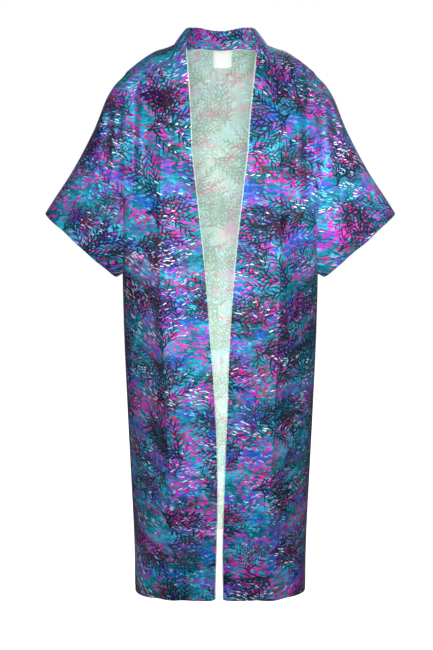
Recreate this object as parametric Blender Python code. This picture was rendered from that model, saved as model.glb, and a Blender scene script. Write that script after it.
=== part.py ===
# Kimono robe, filled out as it is worn, with its front open.
# Metres, +Z up. The front looks towards -Y, and +X is on the viewer's right.
# The origin lies between the shoulders, level with the shoulder line, where a wearer carries the robe.

import math

import bpy
import numpy as np

# Cloth and seams
CLOTH = 0.0014  # wall of a single layer
BAND_CLOTH = 0.0020  # the band is folded double
LABEL_CLOTH = 0.0010
SEAM_GAP = 0.0003  # between two pieces that are sewn together
SEAM_SHARE = 0.6  # of the gap that each piece gives up, a little over half as two walls meet at an angle
SAME_PLACE = 0.00005  # points closer than this are one point of a seam

# Neck and shoulders
NECK_HALF_WIDTH = 0.090  # of the cut neckline, at the shoulder seam
NECK_DEPTH = 0.078  # of the back neckline behind the shoulder seam
NECK_HEIGHT = 0.016  # of the neckline at the shoulder seam
NECK_DOME = 0.0170  # further rise of the cloth's own curve towards the middle of the neck
SHOULDER_X = 0.190  # where the shoulder seam meets the armhole
CHEST = -0.190  # height at which the front starts to curve up to the shoulder
SHOULDER_SLOPE = 1.25  # at the armhole: 1 is a quarter ellipse, more is a straighter slope
NECK_SLOPE = 0.75  # at the neck
SLOPE_CHANGE = (0.055, 0.190)  # x from which the neck's slope turns into the shoulder's

# Armhole and hem
UNDERARM = -0.452
ARMHOLE_HALF_DEPTH = 0.102
ARMHOLE_X = 0.193  # at chest height
ARMHOLE_TURN = math.radians(62)  # how far the panel's end turns outward, from side seam to chest
HEM_SIDE = -1.147
HEM_FRONT = -1.148
HEM_BACK = -1.118

# Section of the body
CREASE_ANGLE = math.radians(9)  # turn of the cloth at the sharp crease of each front
BACK_ANGLE = math.radians(4)
BACK_FLAT = 0.100  # half width of the flat part of the back
BACK_NECK_COLUMNS_END = 0.074
FRONT_HANDLE = 0.50  # share of the corner's length that leaves the crease straight
SIDE_HANDLE = 0.66  # share that reaches the side seam straight

# Neckband
BAND = 0.042
BAND_LEAN_NECK = math.radians(52)  # rise of the band at the shoulder seam
BAND_LEAN_BACK = math.radians(76)  # rise of the band at the centre back
BAND_FORWARD = 0.14  # forward lean of the band at the shoulder seam, as a share of its rise
BAND_SWELL = {-1: 0.005, 1: 0.010}  # how far it stands off to the left and right between chest and neck

# Sleeve
CUFF_TIP = (0.368, -0.323)  # outer corner of the sleeve hem, x and z
CUFF_CORNER = (0.221, -0.459)  # inner corner, beside the body
CUFF_HALF_DEPTH = 0.056
CUFF_RISE = 0.006  # how far the front and back of the sleeve hem lie above the line of its corners
SLEEVE_OUTWARD = (0.85, 0.53)  # x and z of the way in which the outer fold swells
SLEEVE_BULGE = 0.012  # of the outer fold just below the shoulder
SLEEVE_BULGE_AT = 0.13  # share of the way from armhole to sleeve hem
SLEEVE_BULGE_WIDTH = 0.10
SLEEVE_BULGE_START = 0.05  # share in which it grows from nothing at the armhole
SLEEVE_HOLLOW = 0.005  # of the outer fold above its tip
SLEEVE_HOLLOW_LATE = 1.6  # above 1 puts the hollow nearer the sleeve hem

# Label under the back neck seam
LABEL_LEFT = -0.014
LABEL_RIGHT = 0.024
LABEL_DROP = 0.041
LABEL_BELOW_SEAM = 0.0015
LABEL_CLEAR = 0.0007
LABEL_ROWS = 5  # top rows of the back that the label lies on
LABEL_COLUMNS = 2  # columns of the back on each side of the middle that it lies on

# Body cut from the hem up to the chest. The edges are the free edges of the neckband on the two fronts.
BODY_COLUMNS = ("height", "half_width", "crease", "left_edge", "right_edge", "front", "back")
BODY_ROWS = (
    (-1.148, 0.195, 0.101, 0.010, 0.009, 0.137, 0.148),
    (-0.950, 0.201, 0.104, 0.004, 0.009, 0.137, 0.146),
    (-0.750, 0.206, 0.111, 0.008, 0.015, 0.136, 0.143),
    (-0.570, 0.209, 0.116, 0.020, 0.021, 0.135, 0.138),
    (-0.400, 0.208, 0.119, 0.033, 0.033, 0.134, 0.134),
    (-0.285, 0.204, 0.117, 0.047, 0.045, 0.134, 0.134),
    (-0.190, 0.200, 0.113, 0.056, 0.055, 0.133, 0.132),
)
BODY = dict(zip(BODY_COLUMNS, np.array(BODY_ROWS).T))

# Height of the shoulder seam from neckline to armhole.
SHOULDER_COLUMNS = ("x", "height")
SHOULDER_ROWS = ((0.090, 0.016), (0.105, 0.010), (0.130, 0.003), (0.158, -0.013), (0.190, -0.037))
SHOULDER = dict(zip(SHOULDER_COLUMNS, np.array(SHOULDER_ROWS).T))

# Largest folds: soft upright troughs that hang from the shoulders, in front (-1) and behind (1).
FOLD_TOP_FADE = 0.06
FOLD_BOTTOM_FADE = 0.10
FOLD_FROM_DEPTH = 0.02  # folds start this far from the side seams and sleeve folds
FOLD_SIDE_FADE = 0.05
FOLD_COLUMNS = ("face", "x", "slant", "top", "bottom", "width", "depth")
FOLD_ROWS = (
    (-1, -0.174, -0.02, -0.075, -0.270, 0.013, 0.0075),
    (-1, -0.226, -0.04, -0.105, -0.260, 0.015, 0.0060),
    (-1, 0.170, 0.02, -0.090, -0.260, 0.013, 0.0070),
    (-1, 0.228, 0.06, -0.100, -0.250, 0.015, 0.0070),
    (1, -0.168, -0.05, -0.080, -0.330, 0.016, 0.0080),
    (1, -0.232, -0.10, -0.120, -0.300, 0.016, 0.0060),
    (1, 0.176, 0.04, -0.085, -0.300, 0.015, 0.0080),
    (1, 0.236, 0.12, -0.110, -0.280, 0.016, 0.0060),
    (1, -0.060, -0.02, -0.300, -1.300, 0.026, 0.0070),
    (1, 0.048, 0.03, -0.420, -1.300, 0.030, 0.0080),
    (1, 0.135, 0.02, -0.560, -1.300, 0.024, 0.0060),
    (1, -0.142, 0.01, -0.640, -1.300, 0.024, 0.0070),
)

# How finely the pieces are divided
LOW_ROWS = 12  # hem to underarm
ARM_ROWS = 7  # underarm to chest
TOP_ROWS = 6  # chest to shoulder seam
FLAT_COLUMNS = 3  # band seam to crease
CORNER_COLUMNS = 7  # crease to side seam or armhole
NECK_COLUMNS = 5  # centre back to shoulder seam
BAND_COLUMNS = 3
SLEEVE_ROWS = 9
LABEL_DIVISIONS = 4

TEAL = (0.028, 0.200, 0.270, 1.0)
DEEP_TEAL = (0.022, 0.150, 0.215, 1.0)
BAND_BLUE = (0.035, 0.110, 0.240, 1.0)
SLEEVE_TEAL = (0.030, 0.170, 0.260, 1.0)
WHITE = (0.850, 0.850, 0.840, 1.0)


def smooth(at, places, values):
    # A curve through the table's points, with the slope of its neighbours at each.
    slopes = np.gradient(values, places)
    k = np.clip(np.searchsorted(places, at) - 1, 0, len(places) - 2)
    span = places[k + 1] - places[k]
    t = np.clip((at - places[k]) / span, 0, 1)
    start = values[k] * (1 + 2 * t) * (1 - t) ** 2 + slopes[k] * span * t * (1 - t) ** 2
    end = values[k + 1] * t**2 * (3 - 2 * t) - slopes[k + 1] * span * t**2 * (1 - t)
    return start + end


def body(column, height):
    return float(smooth(np.array(height), BODY["height"], BODY[column]))


def step(x):
    x = np.clip(x, 0, 1)
    return x * x * (3 - 2 * x)


def corner(start, turn, end, end_turn, count):
    # Bezier curve from the flat part of a panel to its end, without its first point.
    reach = math.dist(start, end)
    leave = np.array((math.cos(turn), math.sin(turn))) * reach * FRONT_HANDLE
    arrive = np.array((math.cos(end_turn), math.sin(end_turn))) * reach * SIDE_HANDLE
    t = np.linspace(0, 1, count + 1)[1:, None]
    a, d = np.array(start), np.array(end)
    near_start = a * (1 - t) ** 3 + 3 * (a + leave) * t * (1 - t) ** 2
    near_end = 3 * (d - arrive) * t**2 * (1 - t) + d * t**3
    return near_start + near_end


def section(side, face, height, end, end_turn):
    # One row of half a panel, seen from above: x away from the middle, y as a depth.
    if face < 0:
        inner = body("left_edge" if side < 0 else "right_edge", height) + BAND
        flat_end, depth, turn = body("crease", height), body("front", height), CREASE_ANGLE
        flat = np.linspace(inner, flat_end, FLAT_COLUMNS + 1)
    else:
        flat_end, depth, turn = BACK_FLAT, body("back", height), BACK_ANGLE
        neck = np.linspace(0, BACK_NECK_COLUMNS_END, NECK_COLUMNS + 1)[:-1]
        flat = np.append(neck, np.linspace(BACK_NECK_COLUMNS_END, flat_end, FLAT_COLUMNS + 1))
    outer = corner((flat_end, -depth), turn, (end[0], -end[1]), end_turn, CORNER_COLUMNS)
    x = np.append(flat, outer[:, 0])
    y = np.append(np.full(len(flat), depth), -outer[:, 1])
    return x, y


def low_rows(side, face):
    # Hem to underarm: the row ends at the side seam.
    hem = HEM_FRONT if face < 0 else HEM_BACK
    for k in range(LOW_ROWS + 1):
        share = 1 - k / LOW_ROWS
        height = UNDERARM + (HEM_SIDE - UNDERARM) * share
        x, y = section(side, face, height, (body("half_width", height), 0.0), math.pi / 2)
        dip = step(y / y[0]) * (hem - HEM_SIDE) * share
        yield x, y, height + dip


def arm_rows(side, face):
    # Underarm to chest: the row ends on the armhole, which is a quarter of an oval.
    under = body("half_width", UNDERARM)
    for k in range(1, ARM_ROWS + 1):
        angle = math.pi / 2 * k / ARM_ROWS
        height = CHEST + (UNDERARM - CHEST) * math.cos(angle)
        end = (under + (ARMHOLE_X - under) * math.sin(angle), ARMHOLE_HALF_DEPTH * math.sin(angle))
        x, y = section(side, face, height, end, math.pi / 2 - ARMHOLE_TURN * (1 - math.cos(angle)))
        yield x, y, np.full(len(x), height)


def ridge(x):
    # Height of the shoulder line, which goes on as a low dome across the neck.
    dome = NECK_HEIGHT + NECK_DOME * (1 - (x / NECK_HALF_WIDTH) ** 2)
    return np.where(x < NECK_HALF_WIDTH, dome, smooth(x, SHOULDER["x"], SHOULDER["height"]))


def roundness(x):
    start, end = SLOPE_CHANGE
    return NECK_SLOPE + (SHOULDER_SLOPE - NECK_SLOPE) * step((x - start) / (end - start))


def over_shoulder(x, depth, angle):
    # A point on the curve from chest height (angle 0) over the shoulder line (a right angle).
    power = roundness(x)
    forward = depth * np.clip(np.cos(angle), 0, 1) ** power
    return forward, CHEST + (ridge(x) - CHEST) * np.sin(angle) ** power


def angle_at(x, y, depth):
    return np.arccos((y / depth) ** (1 / roundness(x)))


def neckline(angle):
    # The back neckline, from the shoulder seam (angle 0) to the centre back (a right angle).
    x, y = NECK_HALF_WIDTH * np.cos(angle), NECK_DEPTH * np.sin(angle)
    depth = body("back", CHEST)
    _, z = over_shoulder(x, depth, angle_at(x, y, depth))
    return np.array((x, y, z))


def shoulder_seam(chest_x):
    share = (chest_x - chest_x[0]) / (chest_x[-1] - chest_x[0])
    x = NECK_HALF_WIDTH + (SHOULDER_X - NECK_HALF_WIDTH) * share
    return np.stack([x, np.zeros(len(x)), ridge(x)], 1)


def seam_columns(side):
    # The front's own columns divide the shoulder seam, and the back follows them.
    x, _, _ = list(arm_rows(side, -1))[-1]
    return shoulder_seam(x)


def half_panel(side, face):
    # Outer surface of one front, or of half of the back, as rows of points from the hem up.
    rows = list(low_rows(side, face)) + list(arm_rows(side, face))
    grid = [np.stack([x, face * y, z], 1) for x, y, z in rows]
    top = seam_columns(side)
    if face > 0:
        angles = np.linspace(math.pi / 2, 0, NECK_COLUMNS + 1)[:-1]
        top = np.concatenate([[neckline(a) for a in angles], top])
    chest = grid[-1]
    depth = abs(chest[:, 1])
    reach = angle_at(top[:, 0], top[:, 1], depth)
    for k in range(1, TOP_ROWS + 1):
        angle = reach * k / TOP_ROWS
        rise = (np.sin(angle) / np.sin(reach)) ** roundness(top[:, 0])
        x = chest[:, 0] + (top[:, 0] - chest[:, 0]) * rise
        if face < 0:
            swell = BAND_SWELL[side] * math.sin(math.pi * k / TOP_ROWS)
            x += swell * np.clip(1 - np.arange(len(x)) / FLAT_COLUMNS, 0, 1)
        y, z = over_shoulder(x, depth, angle)
        grid.append(np.stack([x, face * y, z], 1))
    grid = np.array(grid)
    grid[..., 0] *= side
    return grid


def fold(points):
    # Pushes the troughs in, only where the cloth faces forward or backward.
    points = points.copy()
    x, y, z = points[..., 0], points[..., 1], points[..., 2]
    shift = np.zeros(x.shape)
    for row in FOLD_ROWS:
        trough = dict(zip(FOLD_COLUMNS, row))
        below = trough["top"] - z
        away = (x - trough["x"] - trough["slant"] * below) / trough["width"]
        ends = step(below / FOLD_TOP_FADE) * step((z - trough["bottom"]) / FOLD_BOTTOM_FADE)
        facing = step((trough["face"] * y - FOLD_FROM_DEPTH) / FOLD_SIDE_FADE)
        shift -= trough["face"] * trough["depth"] * np.exp(-away * away) * ends * facing
    points[..., 1] += shift
    return points


def armhole_ring(side):
    # From the shoulder down the front to the underarm, and up the back.
    front = half_panel(side, -1)[LOW_ROWS:, -1]
    back = half_panel(side, 1)[LOW_ROWS:, -1]
    return np.concatenate([front[::-1], back[1:-1]])


def sleeve(side):
    # Rings from the armhole to the oval of the sleeve hem.
    ring = armhole_ring(side)
    half = len(ring) // 2
    steps = np.linalg.norm(np.diff(np.concatenate([ring, ring[:1]]), axis=0), axis=1)
    down = np.concatenate([[0], np.cumsum(steps[:half])])
    up = np.concatenate([[0], np.cumsum(steps[half:])])
    around = math.pi * np.concatenate([down / down[-1], 1 + up[1:-1] / up[-1]])
    tip, low = np.array(CUFF_TIP), np.array(CUFF_CORNER)
    middle, along = (tip + low) / 2, (tip - low) / 2
    cuff = np.zeros(ring.shape)
    cuff[:, 0] = side * (middle[0] + along[0] * np.cos(around))
    cuff[:, 1] = -CUFF_HALF_DEPTH * np.sin(around)
    cuff[:, 2] = middle[1] + along[1] * np.cos(around)
    rise = CUFF_RISE * np.sin(around) ** 2 / math.hypot(*along)
    cuff[:, 0] -= side * along[1] * rise
    cuff[:, 2] += along[0] * rise
    outward = np.array((side * SLEEVE_OUTWARD[0], 0.0, SLEEVE_OUTWARD[1]))
    near_fold = np.clip(np.cos(around), 0, 1)[:, None] ** 2
    rows = []
    for k in range(SLEEVE_ROWS + 1):
        s = k / SLEEVE_ROWS
        near_bulge = math.exp(-(((s - SLEEVE_BULGE_AT) / SLEEVE_BULGE_WIDTH) ** 2))
        bulge = SLEEVE_BULGE * near_bulge * step(s / SLEEVE_BULGE_START)
        bulge -= SLEEVE_HOLLOW * math.sin(math.pi * s**SLEEVE_HOLLOW_LATE) ** 2
        rows.append(ring * (1 - s) + cuff * s + outward * bulge * near_fold)
    return np.array(rows)


def band_rows(side):
    # Seam edge and lean of the band on one side, from the hem up to the centre back.
    front = half_panel(side, -1)
    seam = list(front[:, 0])
    rise = [0.0] * (LOW_ROWS + ARM_ROWS + 1)
    rise += [BAND_LEAN_NECK * math.sin(math.pi / 2 * k / TOP_ROWS) for k in range(1, TOP_ROWS + 1)]
    inward = [np.array((-side, 0.0))] * len(seam)
    forward = [math.sin(r) * BAND_FORWARD for r in rise]
    for k in range(1, NECK_COLUMNS + 1):
        angle = math.pi / 2 * k / NECK_COLUMNS
        point = neckline(angle) * np.array((side, 1, 1))
        seam.append(point)
        away = np.array((side * math.cos(angle), math.sin(angle)))
        inward.append(-away)
        share = k / NECK_COLUMNS
        rise.append(BAND_LEAN_NECK + (BAND_LEAN_BACK - BAND_LEAN_NECK) * share)
        forward.append(math.sin(BAND_LEAN_NECK) * BAND_FORWARD * (1 - share))
    across = []
    for lean, flat, front_lean in zip(rise, inward, forward):
        way = np.array((flat[0] * math.cos(lean), flat[1] * math.cos(lean) - front_lean, math.sin(lean)))
        across.append(way / np.linalg.norm(way))
    return np.array(seam), np.array(across)


def neckband():
    left_seam, left_across = band_rows(-1)
    right_seam, right_across = band_rows(1)
    seam = np.concatenate([left_seam, right_seam[-2::-1]])
    across = np.concatenate([left_across, right_across[-2::-1]])
    widths = np.linspace(0, BAND, BAND_COLUMNS + 1)
    return seam[:, None] + across[:, None] * widths[None, :, None]


def normals(grid, ring):
    # Unit normals of a grid, pointing out of the garment for the order used by each piece.
    if ring:
        down = np.roll(grid, -1, 1) - np.roll(grid, 1, 1)
    else:
        down = np.gradient(grid, axis=1)
    up = np.gradient(grid, axis=0)
    normal = np.cross(down, up)
    return normal / np.linalg.norm(normal, axis=-1, keepdims=True)


def key(point):
    return tuple(int(round(value / SAME_PLACE)) for value in point)


def shared_normals(pieces):
    # Pieces that meet at a seam lean their walls the same way there.
    totals = {}
    for piece in pieces:
        points = piece["grid"].reshape(-1, 3)
        for point, normal in zip(points, piece["normal"].reshape(-1, 3)):
            totals[key(point)] = totals.get(key(point), 0) + normal
    for piece in pieces:
        points = piece["grid"].reshape(-1, 3)
        mean = np.array([totals[key(point)] for point in points])
        mean /= np.linalg.norm(mean, axis=1, keepdims=True)
        piece["normal"] = mean.reshape(piece["grid"].shape)


def draw_back(grid, edge):
    # Moves one seam edge of a grid into its own piece, by half of the gap at the seam.
    views = {
        "first_row": (grid[0], grid[1]),
        "last_row": (grid[-1], grid[-2]),
        "first_column": (grid[:, 0], grid[:, 1]),
        "last_column": (grid[:, -1], grid[:, -2]),
    }
    border, inside = views[edge]
    way = inside - border
    border += way / np.linalg.norm(way, axis=1, keepdims=True) * SEAM_GAP * SEAM_SHARE


def split(verts, a, b, c, d):
    # Two triangles along the shorter diagonal, so that both sides of the wall bend alike.
    if np.linalg.norm(verts[a] - verts[c]) <= np.linalg.norm(verts[b] - verts[d]):
        return [(a, b, c), (a, c, d)]
    return [(a, b, d), (b, c, d)]


def rim(points, a, b, count):
    # The edge of the wall from a to b. Pieces that meet split it the same way, by height and place.
    low_first = key(points[a])[::-1] < key(points[b])[::-1]
    if low_first:
        return [(a, b, b + count), (a, b + count, a + count)]
    return [(a, b, a + count), (b, b + count, a + count)]


def wall(piece):
    # A closed wall from a grid of outer points, its normals and a thickness.
    outer = piece["grid"].copy()
    for edge in piece["seams"]:
        draw_back(outer, edge)
    inner = outer - piece["normal"] * piece["cloth"]
    rows, columns = outer.shape[:2]
    count = rows * columns
    points = piece["grid"].reshape(-1, 3)
    verts = np.concatenate([outer.reshape(-1, 3), inner.reshape(-1, 3)])
    last = columns if piece["ring"] else columns - 1
    faces = []
    for i in range(rows - 1):
        for j in range(last):
            a = i * columns + j
            b = i * columns + (j + 1) % columns
            for p, q, r in split(verts, a, b, b + columns, a + columns):
                faces.append((p, q, r))
                faces.append((r + count, q + count, p + count))
    for j in range(last):
        a, b = j, (j + 1) % columns
        faces += rim(points, b, a, count)
        faces += rim(points, a + count - columns, b + count - columns, count)
    if not piece["ring"]:
        for i in range(rows - 1):
            a, b = i * columns, (i + 1) * columns
            faces += rim(points, a, b, count)
            faces += rim(points, b + columns - 1, a + columns - 1, count)
    return verts, faces


def material(name, colour, roughness):
    made = bpy.data.materials.new(name)
    made.use_nodes = True
    shader = made.node_tree.nodes["Principled BSDF"]
    shader.inputs["Base Color"].default_value = colour
    shader.inputs["Roughness"].default_value = roughness
    shader.inputs["Metallic"].default_value = 0.0
    made.diffuse_color = colour
    return made


def add_piece(piece):
    verts, faces = wall(piece)
    mesh = bpy.data.meshes.new(piece["name"])
    mesh.from_pydata([tuple(v) for v in verts], [], faces)
    mesh.shade_smooth()
    mesh.set_sharp_from_angle(angle=math.radians(30))
    mesh.materials.append(material(piece["name"] + "_cloth", piece["colour"], piece["roughness"]))
    made = bpy.data.objects.new(piece["name"], mesh)
    bpy.context.scene.collection.objects.link(made)


def make(name, grid, seams, colour, cloth=CLOTH, ring=False, roughness=0.5):
    # The grid's order decides where its normals point, so a mirrored piece is turned round first.
    return {
        "name": name,
        "grid": grid,
        "normal": normals(grid, ring),
        "seams": seams,
        "colour": colour,
        "cloth": cloth,
        "ring": ring,
        "roughness": roughness,
    }


def front_piece(name, side):
    grid = fold(half_panel(side, -1))
    seams = ["first_column", "last_column", "last_row"]
    return make(name, grid if side > 0 else grid[:, ::-1], seams, TEAL)


def back_piece():
    left, right = half_panel(-1, 1), half_panel(1, 1)
    grid = fold(np.concatenate([right[:, ::-1], left[:, 1:]], 1))
    return make("back", grid, ["first_column", "last_column", "last_row"], DEEP_TEAL)


def sleeve_piece(name, side):
    grid = fold(sleeve(side))
    return make(name, grid if side > 0 else grid[:, ::-1], ["first_row"], SLEEVE_TEAL, ring=True)


def band_piece():
    grid = neckband()
    return make("neckband", grid, ["first_column"], BAND_BLUE, cloth=BAND_CLOTH)


def across_rows(source, at, places):
    # Values of each row of a grid at the given places across it.
    rows = []
    for values, known in zip(source, at):
        rows.append(np.stack([np.interp(places, known, values[:, k]) for k in range(3)], 1))
    return np.array(rows)


def down_columns(source, walked, drops):
    # Values of each column of a grid at the given distances down it.
    columns = []
    for j in range(source.shape[1]):
        columns.append(np.stack([np.interp(drops, walked, source[:, j, k]) for k in range(3)], 1))
    return np.stack(columns, 1)


def label_piece(back):
    # The patch follows the inside of the back, from just under the neck seam.
    middle = back["grid"].shape[1] // 2
    near = slice(middle - LABEL_COLUMNS, middle + LABEL_COLUMNS + 1)
    grid = back["grid"][-LABEL_ROWS:, near][::-1, ::-1]
    normal = back["normal"][-LABEL_ROWS:, near][::-1, ::-1]
    places = np.linspace(LABEL_LEFT, LABEL_RIGHT, LABEL_DIVISIONS + 1)
    points = across_rows(grid, grid[..., 0], places)
    lengths = np.linalg.norm(np.diff(points[:, len(places) // 2], axis=0), axis=1)
    walked = np.concatenate([[0], np.cumsum(lengths)])
    drops = np.linspace(LABEL_BELOW_SEAM, LABEL_BELOW_SEAM + LABEL_DROP, LABEL_DIVISIONS + 1)
    out = down_columns(across_rows(normal, grid[..., 0], places), walked, drops)
    out /= np.linalg.norm(out, axis=-1, keepdims=True)
    patch = down_columns(points, walked, drops) - out * (CLOTH + LABEL_CLEAR)
    piece = make("neck_label", patch, [], WHITE, cloth=LABEL_CLOTH, roughness=0.6)
    piece["normal"] = out
    return piece


def clear_scene():
    for item in list(bpy.data.objects):
        bpy.data.objects.remove(item, do_unlink=True)


def build():
    clear_scene()
    back = back_piece()
    pieces = [
        back,
        front_piece("front_left", -1),
        front_piece("front_right", 1),
        sleeve_piece("sleeve_left", -1),
        sleeve_piece("sleeve_right", 1),
        band_piece(),
    ]
    shared_normals(pieces)
    for piece in pieces:
        add_piece(piece)
    add_piece(label_piece(back))


build()
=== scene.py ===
# Kimono robe of light printed cloth, filled out as it is worn, with its front open.
# Metres, +Z up. The front looks towards -Y and +X is on the viewer's right.
import math

import bpy
import numpy as np
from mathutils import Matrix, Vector


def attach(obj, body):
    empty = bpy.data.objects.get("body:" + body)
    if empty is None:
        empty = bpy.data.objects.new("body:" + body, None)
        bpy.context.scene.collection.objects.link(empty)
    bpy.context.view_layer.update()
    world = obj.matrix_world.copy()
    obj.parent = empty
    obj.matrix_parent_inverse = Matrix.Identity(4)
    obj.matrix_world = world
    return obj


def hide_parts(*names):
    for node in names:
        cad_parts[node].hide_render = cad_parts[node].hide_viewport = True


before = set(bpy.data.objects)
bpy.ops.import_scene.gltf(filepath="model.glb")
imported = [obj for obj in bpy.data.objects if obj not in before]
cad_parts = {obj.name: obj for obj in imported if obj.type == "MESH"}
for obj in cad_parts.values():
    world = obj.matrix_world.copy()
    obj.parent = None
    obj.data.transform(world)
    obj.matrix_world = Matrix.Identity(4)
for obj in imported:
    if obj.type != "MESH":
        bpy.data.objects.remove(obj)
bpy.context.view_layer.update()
print("frame loaded:", len(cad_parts), "nodes")

view = {
    "place": (0.0, -1.80, -0.15),
    "downTilt": math.radians(13.0),
    "lens": 47.08,
    "sensor": 36.0,
    "shiftX": -0.0057,
}
room = {
    "floorHeight": -1.50,
    "floorSize": 14.0,
    "floorColour": (0.50, 0.50, 0.50, 1.0),
    "floorRoughness": 0.9,
    "floorGlow": 1.0,  # keeps the paper floor as pale as the background; seen by the camera alone
    "seenWorld": 1.0,  # brightness of the empty background
    "worldLight": 0.055,  # light that the same background gives
}
white = (1.0, 1.0, 1.0, 1.0)
lamps = {
    # name: place, aim, width, height, watts
    "key": ((0.0, -0.80, -0.34), (0.0, 0.0, -0.42), 0.18, 1.10, 8.3),
    "leftFill": ((-2.2, -1.3, 0.5), (0.0, 0.0, -0.5), 1.2, 1.6, 0.8),
    "rightFill": ((2.2, -1.3, 0.5), (0.0, 0.0, -0.5), 1.2, 1.6, 1.0),
    "top": ((0.0, -0.65, 1.9), (0.0, 0.0, 0.0), 1.4, 0.6, 22.0),
    "behind": ((0.3, 2.4, 0.6), (0.0, 0.0, -0.5), 1.2, 1.6, 50.0),
}
# Strips inside the robe that light the back's wrong side, name: place, width, height, watts
insideLamps = {
    "insideTop": ((0.0, -0.030, -0.21), 0.08, 0.30, 0.06),
    "inside": ((0.0, -0.085, -0.96), 0.12, 0.92, 1.10),
    "insideLow": ((0.0, -0.085, -1.06), 0.12, 0.42, 1.90),
}
# Narrow beams on the sleeves, name: place, aim, width, height, watts, beam angle
sleeveLamps = {
    "leftSleeve": ((-0.40, -1.70, -0.12), (-0.33, 0.0, -0.22), 0.15, 0.15, 0.12, math.radians(22)),
    "rightSleeve": ((0.40, -1.70, -0.12), (0.33, 0.0, -0.22), 0.15, 0.15, 0.50, math.radians(22)),
}


def addObject(name, data):
    made = bpy.data.objects.new(name, data)
    bpy.context.scene.collection.objects.link(made)
    return made


def setCamera():
    camera = addObject("camera", bpy.data.cameras.new("camera"))
    camera.data.lens = view["lens"]
    camera.data.sensor_width = view["sensor"]
    camera.data.shift_x = view["shiftX"]
    camera.data.clip_end = 60.0
    camera.location = view["place"]
    camera.rotation_euler = (math.pi / 2 - view["downTilt"], 0.0, 0.0)
    bpy.context.scene.camera = camera


def addLamp(name, place, aim, width, height, watts):
    data = bpy.data.lights.new(name, "AREA")
    data.shape = "RECTANGLE"
    data.size = width
    data.size_y = height
    data.energy = watts
    lamp = addObject(name, data)
    lamp.location = place
    lamp.rotation_euler = (Vector(aim) - Vector(place)).to_track_quat("-Z", "Y").to_euler()
    lamp.visible_camera = False
    return lamp


def cameraRay(tree):
    # 1 where the camera looks straight at a thing, 0 for the light that it gives.
    return addWire(tree, "LightPath", output="Is Camera Ray")


def setRoom():
    for name, row in lamps.items():
        addLamp(name, *row)
    for name, (*row, beam) in sleeveLamps.items():
        addLamp(name, *row).data.spread = beam
    for name, (place, *row) in insideLamps.items():
        addLamp(name, place, (place[0], place[1] + 1.0, place[2]), *row)
    world = bpy.data.worlds.new("studio")
    bpy.context.scene.world = world
    world.use_nodes = True
    ground = world.node_tree.nodes["Background"].inputs
    ground["Color"].default_value = white
    spread = room["seenWorld"] - room["worldLight"]
    feed(ground["Strength"], cameraRay(world.node_tree).scaled(spread, room["worldLight"]))
    mesh = bpy.data.meshes.new("floor")
    half = room["floorSize"]
    corners = [(-half, -half), (half, -half), (half, half), (-half, half)]
    mesh.from_pydata([(x, y, room["floorHeight"]) for x, y in corners], [], [(0, 1, 2, 3)])
    floor = addObject("floor", mesh)
    paper = bpy.data.materials.new("floorPaper")
    paper.use_nodes = True
    shader = paper.node_tree.nodes["Principled BSDF"].inputs
    shader["Base Color"].default_value = room["floorColour"]
    shader["Roughness"].default_value = room["floorRoughness"]
    shader["Emission Color"].default_value = white
    feed(shader["Emission Strength"], cameraRay(paper.node_tree) * room["floorGlow"])
    mesh.materials.append(paper)
    bpy.context.scene.view_settings.view_transform = "Standard"


def sign(operation):
    return lambda *values: reckon(operation, *values)


class Wire:
    # An output socket that can be reckoned with; each sign makes one Math node.
    def __init__(self, socket):
        self.socket, self.tree = socket, socket.id_data

    __add__, __sub__, __mul__ = sign("ADD"), sign("SUBTRACT"), sign("MULTIPLY")
    __truediv__, __pow__, __abs__ = sign("DIVIDE"), sign("POWER"), sign("ABSOLUTE")
    __lt__, __gt__, scaled = sign("LESS_THAN"), sign("GREATER_THAN"), sign("MULTIPLY_ADD")

    def __rsub__(self, other):
        return reckon("SUBTRACT", other, self)

    def __rtruediv__(self, other):
        return reckon("DIVIDE", other, self)


def feed(socket, value):
    if isinstance(value, Wire):
        socket.id_data.links.new(value.socket, socket)
    else:
        socket.default_value = value


def addNode(tree, kind, settings=None, inputs=None):
    node = tree.nodes.new("ShaderNode" + kind)
    for name, value in (settings or {}).items():
        setattr(node, name, value)
    for name, value in (inputs or {}).items():
        feed(node.inputs[name], value)
    return node


def addWire(tree, kind, settings=None, inputs=None, output=0):
    return Wire(addNode(tree, kind, settings, inputs).outputs[output])


def treeOf(*values):
    return next(value.tree for value in values if isinstance(value, Wire))


def reckon(operation, *values, clamp=False):
    settings = {"operation": operation, "use_clamp": clamp}
    return addWire(treeOf(*values), "Math", settings, dict(enumerate(values)))


def reckonVector(operation, place, value):
    inputs = {0: place, "Scale" if operation == "SCALE" else 1: value}
    return addWire(place.tree, "VectorMath", {"operation": operation}, inputs)


def shifted(place, x, y):
    return reckonVector("ADD", place, (x, y, 0.0))


def stretched(place, x, y):
    return reckonVector("MULTIPLY", place, (x, y, 1.0))


def turned(place, angle):
    inputs = {"Vector": place, "Angle": angle}
    return addWire(place.tree, "VectorRotate", {"rotation_type": "Z_AXIS"}, inputs)


def split(value):
    return [Wire(part) for part in addNode(value.tree, "SeparateXYZ", inputs={"Vector": value}).outputs]


def joined(x, y, z=0.0):
    return addWire(treeOf(x, y), "CombineXYZ", inputs={"X": x, "Y": y, "Z": z})


def ramp(value, low, high):
    # 0 below low, 1 above high, smooth between; low may be the higher one.
    inputs = {"Value": value, "From Min": low, "From Max": high}
    return addWire(value.tree, "MapRange", {"interpolation_type": "SMOOTHSTEP"}, inputs)


def noise(place, scale, detail=2.0, roughness=0.5):
    # Its grey value and its colour.
    inputs = {"Vector": place, "Scale": scale, "Detail": detail, "Roughness": roughness}
    node = addNode(place.tree, "TexNoise", {"noise_dimensions": "2D"}, inputs)
    return Wire(node.outputs[0]), Wire(node.outputs[1])


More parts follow.
